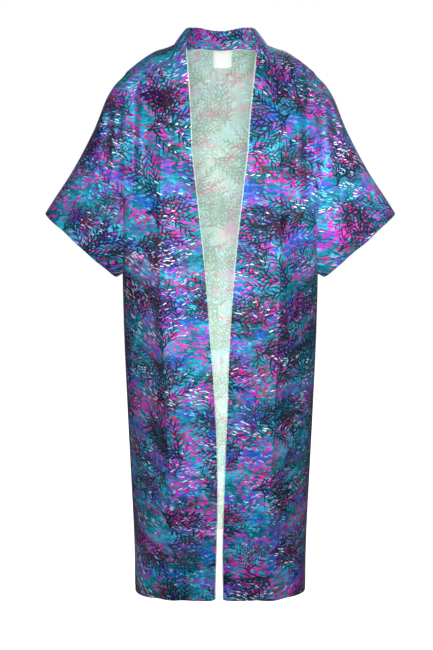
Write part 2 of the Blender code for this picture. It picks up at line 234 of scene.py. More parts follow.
def cells(place, randomness):
    # Scattered cells: the way from each one's own point, and its three chances from 0 to 1.
    inputs = {"Vector": place, "Scale": 1.0, "Randomness": randomness}
    node = addNode(place.tree, "TexVoronoi", {"voronoi_dimensions": "2D"}, inputs)
    offset = reckonVector("SUBTRACT", place, Wire(node.outputs["Position"]))
    return offset, split(Wire(node.outputs["Color"]))


def blendColour(share, below, above, way="MIX"):
    settings = {"data_type": "RGBA", "blend_type": way}
    return addWire(treeOf(share, below, above), "Mix", settings, {0: share, 6: below, 7: above}, 2)


def dyed(colour, cloud, low, high, strength, ink):
    # Lays an ink over the colour where the cloud is dense.
    share = ramp(cloud, low, high)
    return blendColour(share * strength if strength < 1 else share, colour, ink)


def newGroup(name, values, results):
    # A node group that takes a place on the cloth and plain values.
    tree = bpy.data.node_groups.new(name, "ShaderNodeTree")
    tree.interface.new_socket("Place", in_out="INPUT", socket_type="NodeSocketVector")
    for label, value in values.items():
        socket = tree.interface.new_socket(label, in_out="INPUT", socket_type="NodeSocketFloat")
        socket.default_value = value
    for label in results:
        kind = "NodeSocketColor" if label == "Colour" else "NodeSocketFloat"
        tree.interface.new_socket(label, in_out="OUTPUT", socket_type=kind)
    given = tree.nodes.new("NodeGroupInput").outputs
    result = tree.nodes.new("NodeGroupOutput").inputs
    return {label: Wire(given[label]) for label in ("Place", *values)}, result


def useGroup(name, **values):
    node = addNode(values["Place"].tree, "Group", {"node_tree": bpy.data.node_groups[name]}, values)
    return {socket.name: Wire(socket) for socket in node.outputs}


def paint(red, green, blue):
    # Screen colour of 0 to 255 as the shader wants it.
    parts = []
    for value in (red, green, blue):
        share = value / 255
        parts.append(share / 12.92 if share <= 0.04045 else ((share + 0.055) / 1.055) ** 2.4)
    return (*parts, 1.0)


inks = {
    "teal": paint(12, 120, 140),
    "deepTeal": paint(4, 74, 94),
    "turquoise": paint(24, 156, 188),
    "sky": paint(70, 200, 236),
    "blue": paint(34, 82, 196),
    "violet": paint(112, 62, 204),
    "mauve": paint(120, 84, 150),
    "navy": paint(5, 8, 34),
    "darkRed": paint(74, 4, 32),
    "crimson": paint(180, 24, 96),
    "magenta": paint(208, 32, 192),
    "pink": paint(222, 62, 178),
    "white": paint(250, 252, 255),
    "paleBlue": paint(170, 222, 248),
    "lilac": paint(200, 170, 244),
}
inside = {
    "mint": paint(220, 248, 223),
    "warm": paint(255, 186, 200),
    "line": paint(80, 100, 108),
    "lines": 0.30,  # how strongly the sprigs show on the wrong side, painted in as light shining through the cloth
    "ghost": 0.33,  # how strongly the whole print shows there, painted in as light shining through the cloth
}


petal = {
    "randomness": 0.8,
    "shortest": 0.28, "spread": 0.25,  # half its length, in cells
    "edge": (1.05, 0.85),  # where it fades out and where it is full
    "strength": 0.92,
}


def petalGroup():
    # Lens-shaped petals, one to a cell, all turned alike; Chance tells them apart.
    values = {"Length": 0.016, "Width": 0.006, "Turn": 0.0, "Density": 0.5, "Fullness": 0.4}
    given, result = newGroup("petals", values, ("Mask", "Chance"))
    place = turned(given["Place"], given["Turn"])
    place = reckonVector("DIVIDE", place, joined(given["Length"], given["Width"], 1.0))
    offset, (red, green, blue) = cells(place, petal["randomness"])
    x, y, _ = split(offset)
    along = abs(x / red.scaled(petal["spread"], petal["shortest"])) ** 2.0
    shape = ramp(along + abs(y) / given["Fullness"], *petal["edge"])
    feed(result["Mask"], shape * (green < given["Density"]))
    feed(result["Chance"], blue)


sprig = {
    "randomness": 0.6,
    "turn": (5.0, -2.5),  # span and lowest, in radians
    "foot": 0.44, "height": 0.88,  # in cells
    # pairs of side stems: where they start, their length, how far they lean
    "sides": ((0.08, 0.80, 0.72), (0.40, 0.52, 0.62)),
    "leanSpread": 0.25, "leanUneven": 0.10, "startUneven": -0.05, "sideCurve": 3.0,
    "strength": 0.9,
}
leaf = {
    "climb": 0.95, "curl": 14.0,  # how steeply the leaflets leave the stem, and curl up
    "bare": 0.05,  # share of the stem that has none
    "shortest": 0.011, "spread": 0.010,
    "pitchShare": 0.7,  # lower makes them thicker
    "foot": 1.1, "belly": 2.4,  # thickness of a leaflet, in lines
    "stemFoot": 1.35, "stemTaper": -0.9,
}


def leafyStem(x, y, size, pitch, line, seed):
    # A stem from the origin up, with pointed leaflets on alternate sides, longest near its foot.
    away = abs(x)
    foot = y - away * away.scaled(leaf["curl"], leaf["climb"])
    side = reckon("SIGN", x)
    count = side.scaled(0.25, foot / pitch)
    number = reckon("FLOOR", count)
    beside = abs(count - number - 0.5)
    pick = joined(side.scaled(40.5, number), seed)
    luck = addWire(x.tree, "TexWhiteNoise", {"noise_dimensions": "2D"}, {"Vector": pick}, "Value")
    up = foot / size
    full = reckon("SUBTRACT", 1.0, up * up, clamp=True) * (up > leaf["bare"])
    out = away / (full * luck.scaled(leaf["spread"], leaf["shortest"]) + 0.0001)
    thickness = line * (out.scaled(leaf["belly"], leaf["foot"]) * (1.0 - out))
    leaflet = beside * (pitch * leaf["pitchShare"]) < thickness
    rise = y / size
    stem = away < line * rise.scaled(leaf["stemTaper"], leaf["stemFoot"])
    stem = stem * (abs(rise - 0.5) < 0.5)
    return reckon("MAXIMUM", leaflet, stem), luck


def sprigGroup():
    # Sprigs of leafy stems fanning out from one foot, one sprig to a cell.
    values = {"Cell": 0.12, "Pitch": 0.008, "Line": 0.0011, "Density": 0.8, "Bend": 5.0}
    given, result = newGroup("sprigs", values, ("Mask", "Chance"))
    cell, pitch, line = given["Cell"], given["Pitch"], given["Line"]
    offset, (red, green, blue) = cells(reckonVector("SCALE", given["Place"], 1.0 / cell), sprig["randomness"])
    x, y, _ = split(turned(reckonVector("SCALE", offset, cell), red.scaled(*sprig["turn"])))
    x = x - (green - 0.5) * given["Bend"] * (y * y)
    y = cell.scaled(sprig["foot"], y)
    seed = red * 91.0
    size = cell * sprig["height"]
    mask, luck = leafyStem(x, y, size, pitch, line, seed)
    chance = luck * mask
    side = reckon("SIGN", x)
    for start, share, turn in sprig["sides"]:
        lean = side.scaled(sprig["leanUneven"], green.scaled(sprig["leanSpread"], turn - 0.12))
        low = (side * sprig["startUneven"]).scaled(size, size.scaled(-start, y))
        sideX, sideY, _ = split(turned(joined(abs(x), low), lean))
        sideX = (sideY * sideY).scaled(sprig["sideCurve"], sideX)
        found, luck = leafyStem(sideX, sideY, size * share, pitch, line, side.scaled(7.3 + start, seed))
        mask = reckon("MAXIMUM", mask, found)
        chance = reckon("MAXIMUM", chance, luck * found)
    feed(result["Mask"], mask * (blue < given["Density"]))
    feed(result["Chance"], chance)


def groundGroup():
    # Blotched ground of teal, turquoise, blue and violet, streaked across.
    given, result = newGroup("dyedGround", {}, ["Colour"])
    flat = stretched(given["Place"], 0.62, 1.0)
    broad, _ = noise(flat, 10.0, 3.0, 0.55)
    light, _ = noise(shifted(flat, 3.1, 7.7), 17.0, 4.0, 0.6)
    cool, _ = noise(shifted(flat, 9.4, 1.3), 20.0, 4.0, 0.6)
    purple, _ = noise(shifted(flat, 5.2, 4.9), 22.0, 5.0, 0.62)
    fine, _ = noise(stretched(given["Place"], 0.5, 1.3), 150.0, 3.0, 0.6)
    colour = inks["deepTeal"]
    # cloud, where the ink starts and where it is full, strength, ink
    for cloud, low, high, strength, ink in (
        (broad, 0.38, 0.62, 1.0, "teal"),
        (light, 0.46, 0.62, 1.0, "turquoise"),
        (light, 0.60, 0.74, 0.8, "sky"),
        (cool, 0.53, 0.64, 0.8, "blue"),
        (purple, 0.56, 0.67, 0.6, "violet"),
        (fine, 0.53, 0.66, 0.6, "deepTeal"),
        (fine, 0.45, 0.33, 0.5, "sky"),
    ):
        colour = dyed(colour, cloud, low, high, strength, inks[ink])
    grain, _ = noise(given["Place"], 430.0, 2.0, 0.6)
    feed(result["Colour"], blendColour(1.0, colour, grain.scaled(1.3, 0.35), "MULTIPLY"))


# Sprigs of the print, bottom to top: cell, leaflet spacing, line, share shown, shift, colours.
# The shifts are odd halves of a cell, so that one layer's sprigs fall between another's.
sprigLayers = [
    (0.105, 0.0100, 0.0009, 0.90, (4.015, 2.915), "darkRed", "navy"),
    (0.140, 0.0115, 0.0012, 1.00, (1.75, 5.25), "navy", "darkRed"),
    (0.150, 0.0115, 0.0012, 1.00, (3.225, 7.275), "navy", "navy"),
]
# Petals, bottom to top: cell length and width, turn, share shown, fullness, patch size, patch limits,
# shift, colours.
petalLayers = [
    (0.019, 0.0056, 0.22, 0.60, 0.44, 17.0, (0.48, 0.60), (0.3, 0.9), "violet", "mauve"),
    (0.017, 0.0052, -0.30, 0.70, 0.42, 17.0, (0.49, 0.60), (3.3, 1.9), "magenta", "crimson"),
    (0.015, 0.0050, 0.10, 0.70, 0.42, 16.0, (0.50, 0.62), (6.1, 3.4), "magenta", "pink"),
    (0.012, 0.0046, 0.42, 0.50, 0.38, 18.0, (0.50, 0.62), (8.2, 6.6), "sky", "violet"),
]
topPetalLayers = [
    (0.012, 0.0042, -0.12, 0.40, 0.36, 18.0, (0.54, 0.66), (1.2, 5.5), "crimson", "magenta"),
    (0.0140, 0.0048, 0.30, 0.40, 0.23, 14.0, (0.56, 0.66), (9.9, 2.2), "white", "paleBlue"),
    (0.0120, 0.0044, -0.38, 0.35, 0.23, 15.0, (0.57, 0.68), (5.7, 9.1), "white", "lilac"),
]


def petalLayer(place, colour, row):
    length, width, turn, share, fullness, patch, limits, shift, first, second = row
    here = shifted(place, *shift)
    patches, _ = noise(stretched(here, 0.45, 1.0), patch, 3.0, 0.6)
    density = ramp(patches, *limits) * share
    found = useGroup("petals", Place=here, Length=length, Width=width, Turn=turn,
                     Density=density, Fullness=fullness)
    ink = blendColour(found["Chance"] > 0.55, inks[first], inks[second])
    return blendColour(found["Mask"] * petal["strength"], colour, ink)


def sprigLayer(place, colour, row):
    cell, pitch, line, share, shift, first, second = row
    here = shifted(place, *shift)
    found = useGroup("sprigs", Place=here, Cell=cell, Pitch=pitch, Line=line, Density=share)
    ink = blendColour(found["Chance"] > 0.6, inks[first], inks[second])
    return blendColour(found["Mask"] * sprig["strength"], colour, ink), found["Mask"]


def printGroup():
    # The whole print, from cloth places in metres; Lines tells where its sprigs are.
    given, result = newGroup("leafPrint", {}, ("Colour", "Lines"))
    _, shake = noise(given["Place"], 26.0, 3.0, 0.5)
    shake = reckonVector("SCALE", reckonVector("SUBTRACT", shake, (0.5, 0.5, 0.5)), 0.014)
    place = reckonVector("ADD", given["Place"], shake)
    colour = useGroup("dyedGround", Place=place)["Colour"]
    for row in petalLayers[:3]:
        colour = petalLayer(place, colour, row)
    colour, lines = sprigLayer(place, colour, sprigLayers[0])
    for row in petalLayers[3:]:
        colour = petalLayer(place, colour, row)
    for row in sprigLayers[1:]:
        colour, found = sprigLayer(place, colour, row)
        lines = reckon("MAXIMUM", lines, found)
    for row in topPetalLayers:
        colour = petalLayer(place, colour, row)
    feed(result["Colour"], colour)
    feed(result["Lines"], lines)


def weaveGroup():
    # Fine crossed threads, with thicker ones here and there.
    given, result = newGroup("weave", {"Threads": 1400.0}, ("Height", "Shade"))
    x, y, _ = split(reckonVector("SCALE", given["Place"], given["Threads"]))
    crossed = reckon("SINE", x * math.pi) * reckon("SINE", y * math.pi)
    long, _ = noise(stretched(given["Place"], 900.0, 60.0), 1.0)
    wide, _ = noise(stretched(given["Place"], 60.0, 900.0), 1.0)
    slubs = long + wide
    feed(result["Height"], crossed.scaled(0.35, slubs * 0.6))
    feed(result["Shade"], slubs.scaled(0.22, 0.78))


finish = {
    "roughness": 0.60, "raised": 0.35,  # raised is how strongly the threads show
    "insideRoughness": 0.70, "insideRaised": 0.30,
    "plainRaised": 0.4,
    "threadHeight": 0.0002,
    "sheen": 0.03, "sheenRoughness": 0.4, "plainSheen": 0.1,
    "specular": 0.2,
    "slubShine": 0.2,  # how much smoother the thicker threads are
}


def startMaterial(name):
    made = bpy.data.materials.new(name)
    made.use_nodes = True
    place = addWire(made.node_tree, "UVMap", {"uv_map": "clothPlace"})
    return made, made.node_tree.nodes["Principled BSDF"].inputs, place


def raiseThreads(shaderInputs, weave, strength):
    bump = {"Strength": strength, "Distance": finish["threadHeight"], "Height": weave["Height"]}
    feed(shaderInputs["Normal"], addWire(weave["Height"].tree, "Bump", inputs=bump))


def clothMaterial(name, makeColour, roughness, bump):
    made, shader, place = startMaterial(name)
    weave = useGroup("weave", Place=place)
    feed(shader["Base Color"], blendColour(1.0, makeColour(place), weave["Shade"], "MULTIPLY"))
    shine = finish["slubShine"]
    feed(shader["Roughness"], weave["Shade"].scaled(-shine, roughness + shine))
    shader["Sheen Weight"].default_value = finish["sheen"]
    shader["Sheen Roughness"].default_value = finish["sheenRoughness"]
    shader["Specular IOR Level"].default_value = finish["specular"]
    raiseThreads(shader, weave, bump)
    return made


def printColour(place):
    return useGroup("leafPrint", Place=place)["Colour"]


def insideColour(place):
    # The wrong side of the cloth: pale, with pink patches and the print painted on a little, as light shining
    # through the thin cloth shows them.
    ghost = useGroup("leafPrint", Place=place)
    cloud, _ = noise(stretched(place, 0.6, 1.0), 24.0, 5.0, 0.7)
    ground = dyed(inside["mint"], cloud, 0.52, 0.66, 0.60, inside["warm"])
    streak, _ = noise(stretched(place, 330.0, 14.0), 1.0, 3.0, 0.6)
    ground = dyed(ground, streak, 0.40, 0.62, 0.13, inks["teal"])
    ground = blendColour(ghost["Lines"] * inside["lines"], ground, inside["line"])
    return blendColour(inside["ghost"], ground, ghost["Colour"])


def plainMaterial(name, colour, roughness, threads=2600.0):
    made, shader, place = startMaterial(name)
    weave = useGroup("weave", Place=place, Threads=threads)
    shade = [0.75 * value for value in colour[:3]] + [1.0]
    feed(shader["Base Color"], blendColour(weave["Shade"], shade, colour))
    shader["Roughness"].default_value = roughness
    shader["Sheen Weight"].default_value = finish["plainSheen"]
    raiseThreads(shader, weave, finish["plainRaised"])
    return made


neck = {"halfWidth": 0.090, "depth": 0.078, "height": 0.016, "dome": 0.0170}
shoulder = {
    "armholeX": 0.190,
    "chest": -0.190,
    "slope": 1.25,
    "neckSlope": 0.75,
    "slopeChange": (0.055, 0.190),
    "x": np.array((0.090, 0.105, 0.130, 0.158, 0.190)),
    "height": np.array((0.016, 0.010, 0.003, -0.013, -0.037)),
}
armhole = {"underarm": -0.452, "halfDepth": 0.102, "x": 0.193, "turn": math.radians(62)}
hem = {
    "low": -1.176,  # height of the lowest row before it is lifted
    "front": -1.149,
    "seam": -1.142,  # at the side seams
    "back": -1.120,
    "lowAt": 0.45,  # share of the fronts' depth at which the hem is lowest
    "backCurve": 0.11,  # how far in from the side seams the back's hem rises
}
panel = {
    "backAngle": math.radians(4),
    "backFlat": 0.100,
    "backNeckEnd": 0.074,
    "backHandle": 0.50,
    "backSideHandle": 0.66,
    "nearCrease": 0.004,  # share of the curve at its first point, so that the crease stays crisp
    "creaseWidth": 0.0006,
    "clothThickness": 0.0007,
    "hemDepth": 3,  # rows of the turned-up hem
    "hemThickness": 0.0008,
    "seamDip": 0.0002,
    "seamInset": 0.00002,
}
band = {
    "width": 0.042,
    # points across its outer side, as shares of the width
    "shares": (0.0, *np.linspace(0.03, 0.95, 11), 0.985, 0.997, 1.0),
    "leanNeck": math.radians(52),
    "leanBack": math.radians(76),
    "forward": 0.14,
    "swell": {-1: 0.005, 1: 0.010},
    "middle": 0.0010,  # depth of its middle below the outer face
    "halfThickness": 0.0007,
    "puff": 0.0006,
    "pucker": 0.00028,
    "puckers": ((210, 0), (131, 2), (57, 1)),  # radians a metre, phase
    "tuck": 0.0006,  # how far its seam edge lies under the panels
    "dip": 0.06,  # share of its width lost at the centre back
    "dipFrom": 0.02,
    "dipFade": 0.05,
    "dipNarrow": 30,
    "trim": 0.09,  # share lost at each shoulder, where its free edge turns forward
    "trimAt": -0.004,
    "trimLength": 0.020,
    "facing": 0.010,  # how far its inner half goes on below the seam, either side of the back neck
    "change": 0.03,  # share of a row in which the print changes over at each shoulder
    "tapeBehind": 0.012,  # how far back its neck stitches begin
    "cornerRise": 0.004,  # rounds the lower corner of each end
    "paleBelow": -0.003,  # height up to which its fold shows pale
    "paleFrom": 11,  # the first of its points that is pale
}
cuff = {
    "tip": (0.368, -0.323),  # x and height of the upper end of its opening
    "corner": (0.221, -0.459),  # and of the lower end
    "halfDepth": 0.056,
    "rise": 0.006,  # how far the opening bows out at front and back
    "outward": (0.85, 0.53),  # the way in which its upper fold bulges
    "bulge": 0.0085,
    "bulgeAt": 0.17,
    "bulgeWidth": 0.15,
    "bulgeStart": 0.10,
    "hollow": 0.005,
    "hollowLate": 1.6,
    "flutes": 0.0022,
}
label = {
    "left": -0.014,
    "right": 0.024,
    "drop": 0.041,
    "belowSeam": 0.0015,
    "clear": 0.0006,
    "thickness": 0.0005,
    "belly": 0.0009,  # how far its middle stands off
    "free": 0.0004,  # how far its lower edge does
}
# Rows or columns of the cloth's grids.
fineness = {"low": 144, "arm": 56, "top": 44, "flat": 12, "corner": 42, "neck": 9, "sleeve": 58}

# Body from the hem up: half width, crease, free band edges, front and back depth.
bodyColumns = (
    "height", "halfWidth", "crease", "turn", "leftEdge", "rightEdge", "front", "back",
    "frontHandle", "sideHandle",
)
bodyRows = (
    (-1.148, 0.195, 0.101, 6, 0.0095, 0.0050, 0.137, 0.148, 0.54, 0.47),
    (-1.050, 0.198, 0.102, 30, 0.0070, 0.0040, 0.137, 0.147, 0.40, 0.37),
    (-0.950, 0.201, 0.104, 45, 0.0045, 0.0060, 0.137, 0.146, 0.37, 0.33),
    (-0.750, 0.206, 0.111, 52, 0.0075, 0.0125, 0.136, 0.143, 0.35, 0.31),
    (-0.570, 0.209, 0.116, 54, 0.0185, 0.0180, 0.135, 0.138, 0.35, 0.29),
    (-0.400, 0.208, 0.119, 54, 0.0310, 0.0295, 0.134, 0.134, 0.36, 0.30),
    (-0.285, 0.204, 0.117, 48, 0.0430, 0.0415, 0.134, 0.134, 0.36, 0.33),
    (-0.190, 0.200, 0.113, 36, 0.0535, 0.0525, 0.133, 0.132, 0.38, 0.38),
)
body = dict(zip(bodyColumns, np.array(bodyRows).T))

fold = {
    "topFade": 0.06,
    "bottomFade": 0.10,
    "flank": 0.02,  # depth up to which the cloth faces sideways and has no folds
    "flankFade": 0.05,
    "wavesBelow": -0.75,
    "waveFade": 0.40,
    "waves": ((46, 0.0016, 1.0), (81, 0.0009, 2.3)),  # radians a metre, height, share of the phase
    "phases": {-1: 0.4, 1: 2.1},
}
# Folds that hang upright: face (-1 front, 1 back), x, slant, top, bottom, width, depth (minus stands out).
foldRows = (
    (-1, -0.168, -0.02, -0.055, -0.310, 0.010, 0.0205),
    (-1, -0.220, -0.05, -0.085, -0.280, 0.010, 0.0165),
    (-1, 0.169, 0.02, -0.065, -0.310, 0.010, 0.0210),
    (-1, 0.225, 0.06, -0.085, -0.280, 0.010, 0.0185),
    (1, -0.168, -0.05, -0.080, -0.330, 0.016, 0.0080),
    (1, -0.232, -0.10, -0.120, -0.300, 0.016, 0.0060),
    (1, 0.176, 0.04, -0.085, -0.300, 0.015, 0.0080),
    (1, 0.236, 0.12, -0.110, -0.280, 0.016, 0.0060),
    (1, -0.060, -0.02, -0.300, -1.300, 0.026, 0.0070),
    (1, 0.048, 0.03, -0.420, -1.300, 0.030, 0.0080),
    (1, 0.135, 0.02, -0.560, -1.300, 0.024, 0.0060),
    (1, -0.142, 0.01, -0.640, -1.300, 0.024, 0.0070),
    # smaller ones
    (-1, -0.143, -0.03, -0.110, -0.350, 0.009, 0.0060),
    (-1, -0.197, -0.02, -0.065, -0.290, 0.008, 0.0090),
    (-1, 0.143, 0.04, -0.120, -0.330, 0.009, 0.0050),
    (-1, 0.197, 0.03, -0.075, -0.270, 0.008, 0.0090),
    (-1, -0.252, 0.18, -0.170, -0.330, 0.009, 0.0035),
    (-1, 0.262, -0.14, -0.160, -0.320, 0.010, 0.0040),
    (-1, -0.075, -0.01, -0.520, -1.400, 0.016, 0.0016),
    (-1, 0.070, 0.02, -0.640, -1.400, 0.018, 0.0018),
    (-1, -0.148, 0.02, -0.560, -1.400, 0.014, 0.0030),
    (-1, 0.152, -0.02, -0.620, -1.400, 0.013, 0.0028),
    (1, -0.110, -0.03, -0.120, -0.520, 0.014, 0.0035),
    (1, 0.100, 0.02, -0.100, -0.460, 0.013, 0.0035),
    (1, 0.006, 0.01, -0.250, -0.900, 0.016, 0.0025),
    (1, 0.092, 0.01, -0.700, -1.400, 0.016, 0.0040),
    (1, -0.098, -0.02, -0.760, -1.400, 0.015, 0.0035),
    (1, -0.020, 0.01, -0.800, -1.400, 0.018, 0.0035),
    (1, -0.270, 0.20, -0.180, -0.330, 0.011, 0.0040),
    (1, 0.272, -0.18, -0.170, -0.320, 0.011, 0.0040),
)


def smooth(at, places, values):
    # A curve through a table's points, with the slope of its neighbours at each.
    slopes = np.gradient(values, places)
    k = np.clip(np.searchsorted(places, at) - 1, 0, len(places) - 2)
    span = places[k + 1] - places[k]
    t = np.clip((at - places[k]) / span, 0, 1)
    start = values[k] * (1 + 2 * t) * (1 - t) ** 2 + slopes[k] * span * t * (1 - t) ** 2
    end = values[k + 1] * t**2 * (3 - 2 * t) - slopes[k + 1] * span * t**2 * (1 - t)
    return start + end


def bodySize(column, height):
    return float(smooth(np.array(height), body["height"], body[column]))


def ease(x):
    x = np.clip(x, 0, 1)
    return x * x * (3 - 2 * x)


def unit(vectors):
    return vectors / np.linalg.norm(vectors, axis=-1, keepdims=True)


def walkAlong(points):
    # Distance walked from the first point to each one, down the first axis.
    steps = np.linalg.norm(np.diff(points, axis=0), axis=-1)
    return np.concatenate([np.zeros((1, *steps.shape[1:])), np.cumsum(steps, 0)])


def pointsAt(places, walked, line):
    # Points of a line, or of its normals, at the given distances along it.
    return np.stack([np.interp(places, walked, line[:, k]) for k in range(3)], -1)


def cornerCurve(start, turn, end, endTurn, handles, count):
    # From the flat part of a panel round to its end, without its first point.
    reach = math.dist(start, end)
    leave = np.array((math.cos(turn), math.sin(turn))) * reach * handles[0]
    arrive = np.array((math.cos(endTurn), math.sin(endTurn))) * reach * handles[1]
    t = np.linspace(0, 1, count + 1)[1:, None]
    t[0] = panel["nearCrease"]
    a, d = np.array(start), np.array(end)
    nearStart = a * (1 - t) ** 3 + 3 * (a + leave) * t * (1 - t) ** 2
    return nearStart + 3 * (d - arrive) * t**2 * (1 - t) + d * t**3


def sectionRow(side, face, height, end, endTurn):
    # One row of half a panel from above: x away from the middle, y as a depth.
    if face < 0:
        inner = bodySize("leftEdge" if side < 0 else "rightEdge", height) + band["width"]
        flatEnd, depth = bodySize("crease", height), bodySize("front", height)
        turn = math.radians(bodySize("turn", height))
        handles = bodySize("frontHandle", height), bodySize("sideHandle", height)
        flat = np.linspace(inner, flatEnd, fineness["flat"] + 1)
        flat[-2] = flatEnd - panel["creaseWidth"]
    else:
        flatEnd, depth, turn = panel["backFlat"], bodySize("back", height), panel["backAngle"]
        handles = panel["backHandle"], panel["backSideHandle"]
        middle = np.linspace(0, panel["backNeckEnd"], fineness["neck"] + 1)[:-1]
        flat = np.append(middle, np.linspace(panel["backNeckEnd"], flatEnd, fineness["flat"] + 1))
    outer = cornerCurve((flatEnd, -depth), turn, (end[0], -end[1]), endTurn, handles, fineness["corner"])
    return np.append(flat, outer[:, 0]), np.append(np.full(len(flat), depth), -outer[:, 1])


def hemLift(face, x, y):
    # How far each point of the hem lies above its lowest row.
    atSeam = hem["seam"] - hem["low"]
    if face > 0:
        return atSeam + ease((x[-1] - x) / hem["backCurve"]) * (hem["back"] - hem["seam"])
    forward = y / y[0]
    return ease(forward) * (hem["front"] - hem["low"]) + ease(1 - forward / hem["lowAt"]) * atSeam


def lowRows(side, face):
    # Hem to underarm: each row ends at the side seam.
    for k in range(fineness["low"] + 1):
        share = 1 - k / fineness["low"]
        height = armhole["underarm"] + (hem["low"] - armhole["underarm"]) * share
        x, y = sectionRow(side, face, height, (bodySize("halfWidth", height), 0.0), math.pi / 2)
        yield x, y, height + hemLift(face, x, y) * share


def armRows(side, face):
    # Underarm to chest: each row ends on the armhole, a quarter of an oval.
    under = bodySize("halfWidth", armhole["underarm"])
    chest = shoulder["chest"]
    for k in range(1, fineness["arm"] + 1):
        angle = math.pi / 2 * k / fineness["arm"]
        height = chest + (armhole["underarm"] - chest) * math.cos(angle)
        end = (under + (armhole["x"] - under) * math.sin(angle), armhole["halfDepth"] * math.sin(angle))
        endTurn = math.pi / 2 - armhole["turn"] * (1 - math.cos(angle))
        x, y = sectionRow(side, face, height, end, endTurn)
        yield x, y, np.full(len(x), height)


def ridge(x):
    # Height of the shoulder line, which goes on as a low dome across the neck.
    dome = neck["height"] + neck["dome"] * (1 - (x / neck["halfWidth"]) ** 2)
    return np.where(x < neck["halfWidth"], dome, smooth(x, shoulder["x"], shoulder["height"]))


def roundness(x):
    start, end = shoulder["slopeChange"]
    gain = shoulder["slope"] - shoulder["neckSlope"]
    return shoulder["neckSlope"] + gain * ease((x - start) / (end - start))


def overShoulder(x, depth, angle):
    # On the curve from chest height (angle 0) to the shoulder line (a right angle).
    power = roundness(x)
    forward = depth * np.clip(np.cos(angle), 0, 1) ** power
    return forward, shoulder["chest"] + (ridge(x) - shoulder["chest"]) * np.sin(angle) ** power


def angleAt(x, y, depth):
    return np.arccos(np.clip(y / depth, 0, 1) ** (1 / roundness(x)))


def neckLine(angle):
    # The back neckline, from the shoulder seam (angle 0) to the centre back.
    x, y = neck["halfWidth"] * np.cos(angle), neck["depth"] * np.sin(angle)
    depth = bodySize("back", shoulder["chest"])
    _, z = overShoulder(x, depth, angleAt(x, y, depth))
    return np.array((x, y, z))


def halfPanel(side, face):
    # One front, or half of the back, as rows of points from the hem up.
    rows = [*lowRows(side, face), *armRows(side, face)]
    grid = [np.stack([x, face * y, z], 1) for x, y, z in rows]
    chestX = list(armRows(side, -1))[-1][0]
    share = (chestX - chestX[0]) / (chestX[-1] - chestX[0])
    x = neck["halfWidth"] + (shoulder["armholeX"] - neck["halfWidth"]) * share
    top = np.stack([x, np.zeros(len(x)), ridge(x)], 1)
    if face > 0:
        angles = np.linspace(math.pi / 2, 0, fineness["neck"] + 1)[:-1]
        top = np.concatenate([[neckLine(a) for a in angles], top])
    chest = grid[-1]
    depth = abs(chest[:, 1])
    reach = angleAt(top[:, 0], top[:, 1], depth)
    for k in range(1, fineness["top"] + 1):
        angle = reach * k / fineness["top"]
        rise = (np.sin(angle) / np.sin(reach)) ** roundness(top[:, 0])
        x = chest[:, 0] + (top[:, 0] - chest[:, 0]) * rise
        if face < 0:
            swell = band["swell"][side] * math.sin(math.pi * k / fineness["top"])
            x = x + swell * np.clip(1 - np.arange(len(x)) / fineness["flat"], 0, 1)
        y, z = overShoulder(x, depth, angle)
        grid.append(np.stack([x, face * y, z], 1))
    grid = np.array(grid)
    grid[..., 0] *= side
    return grid


def drape(points):
    # Presses the folds in where the cloth faces forward or backward, and lets the hems wave a little.
    points = points.copy()
    x, y, z = points[..., 0], points[..., 1], points[..., 2]
    facing = {face: ease((face * y - fold["flank"]) / fold["flankFade"]) for face in (-1, 1)}
    shift = np.zeros(x.shape)
    for face, middle, slant, top, bottom, width, depth in foldRows:
        below = top - z
        away = (x - middle - slant * below) / width
        ends = ease(below / fold["topFade"]) * ease((z - bottom) / fold["bottomFade"])
        shift -= face * depth * np.exp(-away * away) * ends * facing[face]
    low = ease((fold["wavesBelow"] - z) / fold["waveFade"])
    for face, phase in fold["phases"].items():
        wave = sum(np.sin(x * rate + share * phase) * height for rate, height, share in fold["waves"])
        shift += wave * low * facing[face]
    points[..., 1] += shift
    return points


def unitNormals(grid):
    return unit(np.cross(np.gradient(grid, axis=1), np.gradient(grid, axis=0)))


def clothPlaces(grid, column, row, sign):
    # Distances along the cloth in metres, across from one column and up from one row.
    u = walkAlong(grid.swapaxes(0, 1)).T
    v = walkAlong(grid)
    return np.stack([sign * (u - u[:, column : column + 1]), v - v[row : row + 1]], 2)


def addMesh(name, points, places, faces, materialIndex, materials):
    mesh = bpy.data.meshes.new(name)
    mesh.from_pydata(points.tolist(), [], faces)
    for made in materials:
        mesh.materials.append(made)
    mesh.polygons.foreach_set("material_index", materialIndex)
    corners = np.zeros(len(mesh.loops), np.int32)
    mesh.loops.foreach_get("vertex_index", corners)
    layer = mesh.uv_layers.new(name="clothPlace")
    layer.uv.foreach_set("vector", places[corners].astype(np.float32).ravel())
    mesh.shade_smooth()
    mesh.set_sharp_from_angle(angle=math.radians(50))
    return addObject(name, mesh)


def gridFaces(rows, columns, flip=False):
    i, j = np.meshgrid(np.arange(rows - 1), np.arange(columns - 1), indexing="ij")
    a = (i * columns + j).ravel()
    quads = np.stack([a, a + 1, a + 1 + columns, a + columns], 1)
    return quads[:, ::-1] if flip else quads


